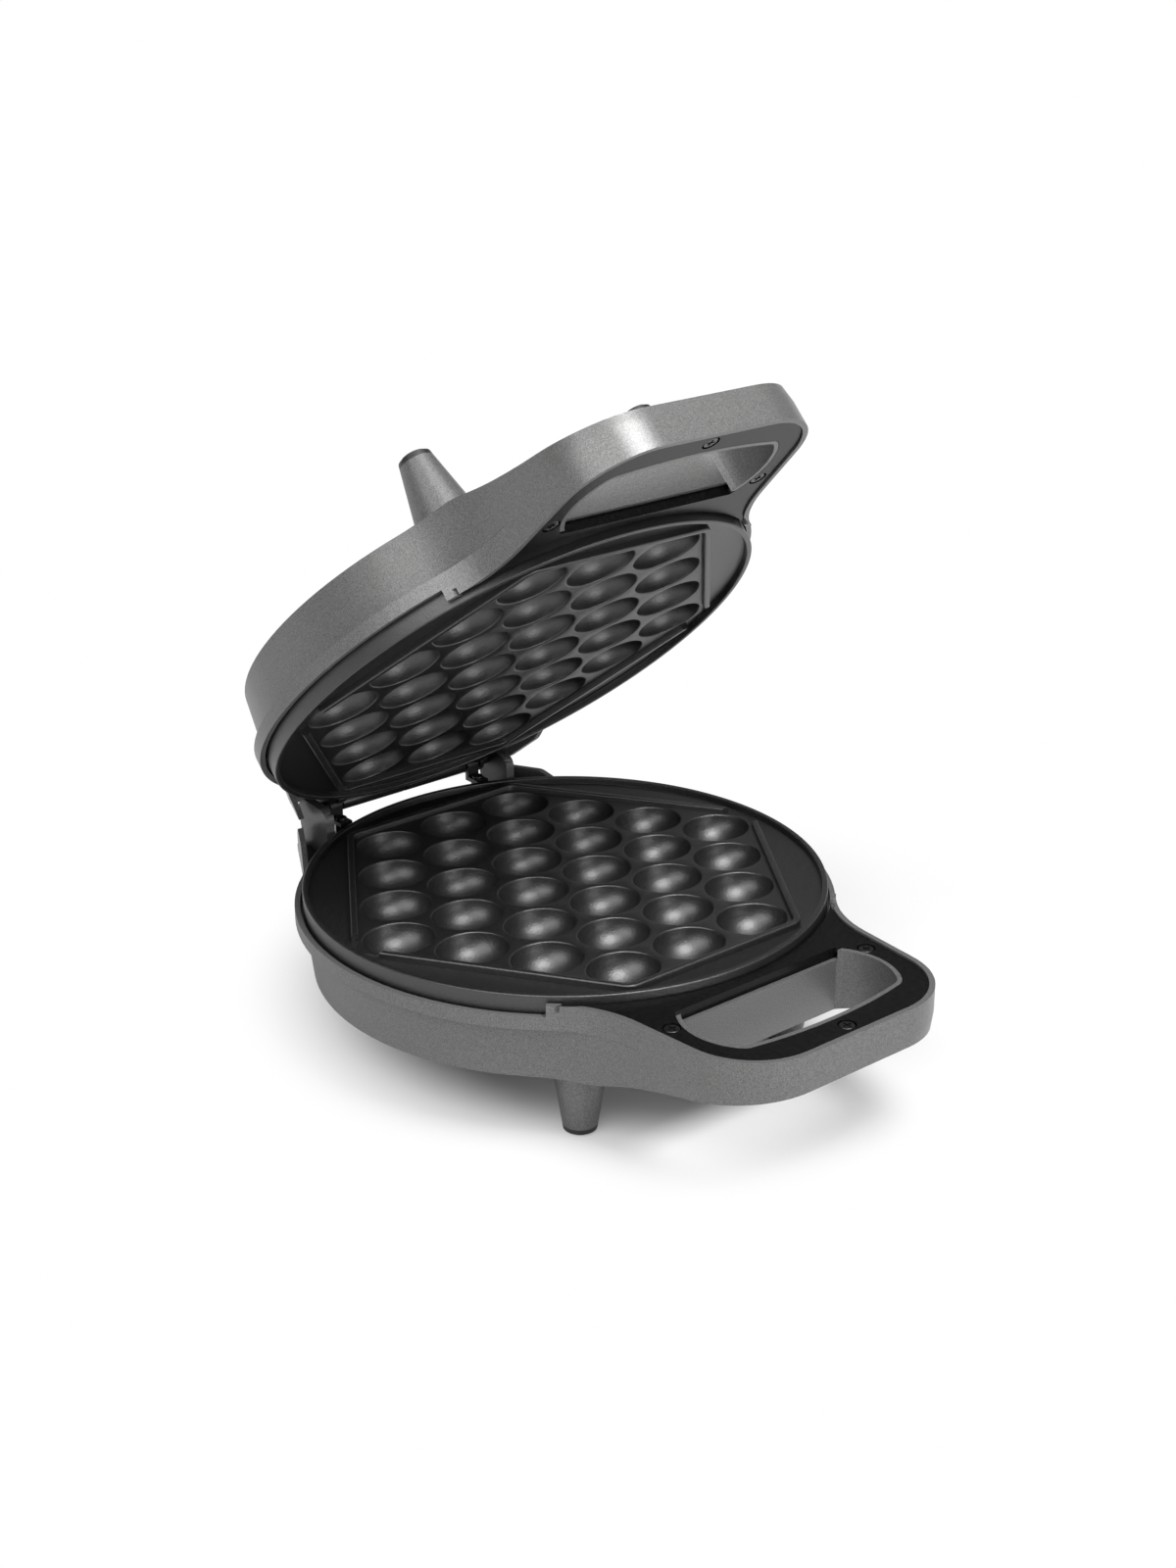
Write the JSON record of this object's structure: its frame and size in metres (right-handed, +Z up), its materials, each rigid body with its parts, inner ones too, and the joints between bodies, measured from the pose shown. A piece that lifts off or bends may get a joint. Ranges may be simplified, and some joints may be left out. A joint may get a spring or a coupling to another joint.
{
  "type": "bubble waffle maker",
  "caption": "Folding cooking iron with two round bubble-patterned plates in grey clam-shell casings, hinged at the back, with a black-faced loop handle on each half.",
  "frame": {"origin": "on the worktop, midway between the foremost and rearmost points and between the sides, lid open as pictured", "axes": "+Z up, -Y towards the user along the handles, +X to the right of a user who faces the hinge"},
  "size_m": [0.2372, 0.3286, 0.2973],
  "materials": {
    "housing_grey": "satin warm grey metallic paint on moulded plastic",
    "cover_black": "glossy black moulding",
    "nonstick_black": "cast aluminium under a satin black non-stick coating",
    "heater_metal": "pressed heater sheath",
    "bare_steel": "plated steel",
    "shield_aluminium": "bright aluminium sheet",
    "foot_rubber": "matte black rubber",
    "hinge_black": "satin black coated steel",
    "inner_plastic": "matte black plastic",
    "terminal_cream": "cream moulding",
    "lamp_window_dark": "dark tinted moulding",
    "lamp_glass": "clear glass bulb"
  },
  "bodies": {
    "base": {"base_housing": "housing_grey", "base_handle_cover": "cover_black", "base_cooking_plate": "nonstick_black", "base_heating_element": "heater_metal", "base_element_straps": "bare_steel", "base_strap_screws": "bare_steel", "base_heat_shield": "shield_aluminium", "base_plate_screws": "bare_steel", "base_rubber_tips": "foot_rubber", "base_cover_screws": "bare_steel", "base_hinge_brackets": "hinge_black", "base_hinge_screws": "bare_steel", "hinge_pin": "hinge_black", "hinge_sleeves": "hinge_black", "inlet_bushing": "inner_plastic", "terminal_block": "terminal_cream", "thermostat": "bare_steel", "thermal_fuse": "bare_steel"},
    "lid": {"lid_housing": "housing_grey", "lid_handle_cover": "cover_black", "lid_cooking_plate": "nonstick_black", "lid_heating_element": "heater_metal", "lid_element_straps": "bare_steel", "lid_strap_screws": "bare_steel", "lid_heat_shield": "shield_aluminium", "lid_plate_screws": "bare_steel", "lid_rubber_tips": "foot_rubber", "lid_cover_screws": "bare_steel", "lid_hinge_arms": "hinge_black", "lid_hinge_screws": "bare_steel", "lamp_window": "lamp_window_dark", "power_lamp": "lamp_glass", "ready_lamp": "lamp_glass"}
  },
  "joints": [
    {"name": "lid_hinge", "type": "hinge", "parent": "base", "child": "lid", "pos_m": [0, 0.13915, 0.0738], "axis": [-1, 0, 0], "range_deg": [-44.6, 55.4]}
  ]
}
